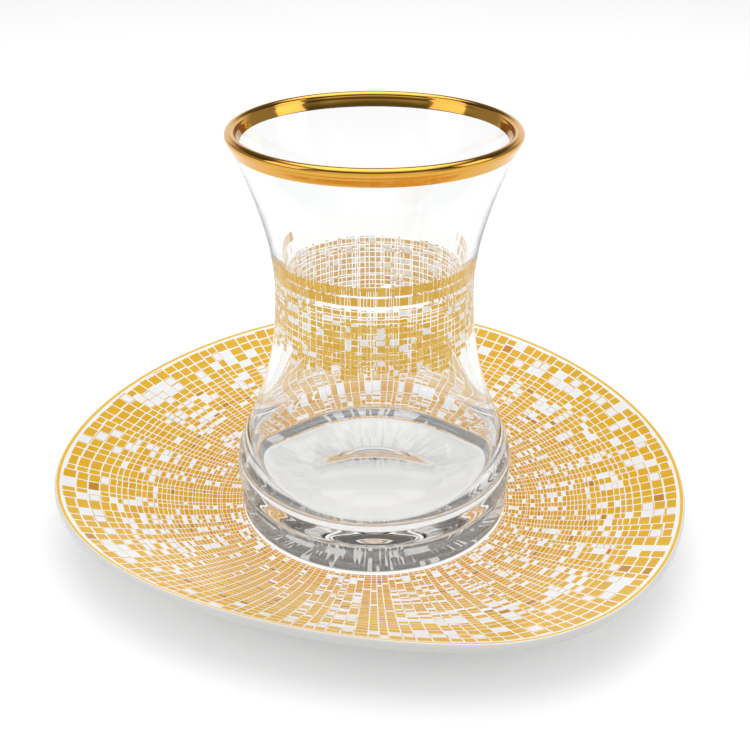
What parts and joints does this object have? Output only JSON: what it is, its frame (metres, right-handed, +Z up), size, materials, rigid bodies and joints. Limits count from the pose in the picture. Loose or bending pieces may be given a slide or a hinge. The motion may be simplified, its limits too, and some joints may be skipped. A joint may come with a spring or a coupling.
{
  "type": "turkish tea glass on a saucer",
  "caption": "Waisted clear tea glass with a gilded lip, standing on a pebble-shaped porcelain saucer with an off-centre well.",
  "frame": {"origin": "middle of the saucer's outline, on the surface that its foot ring stands on", "axes": "+Z up along the glass; -Y is the side the picture was taken from, and +X is to the right from there"},
  "size_m": [0.1466, 0.1474, 0.0939],
  "materials": {
    "glass": "clear polished glass",
    "gilding": "polished gold",
    "porcelain": "white glaze under a gold mosaic print"
  },
  "bodies": {
    "root": {"glass": "glass", "rim_gilding": "gilding", "saucer": "porcelain"}
  },
  "joints": []
}
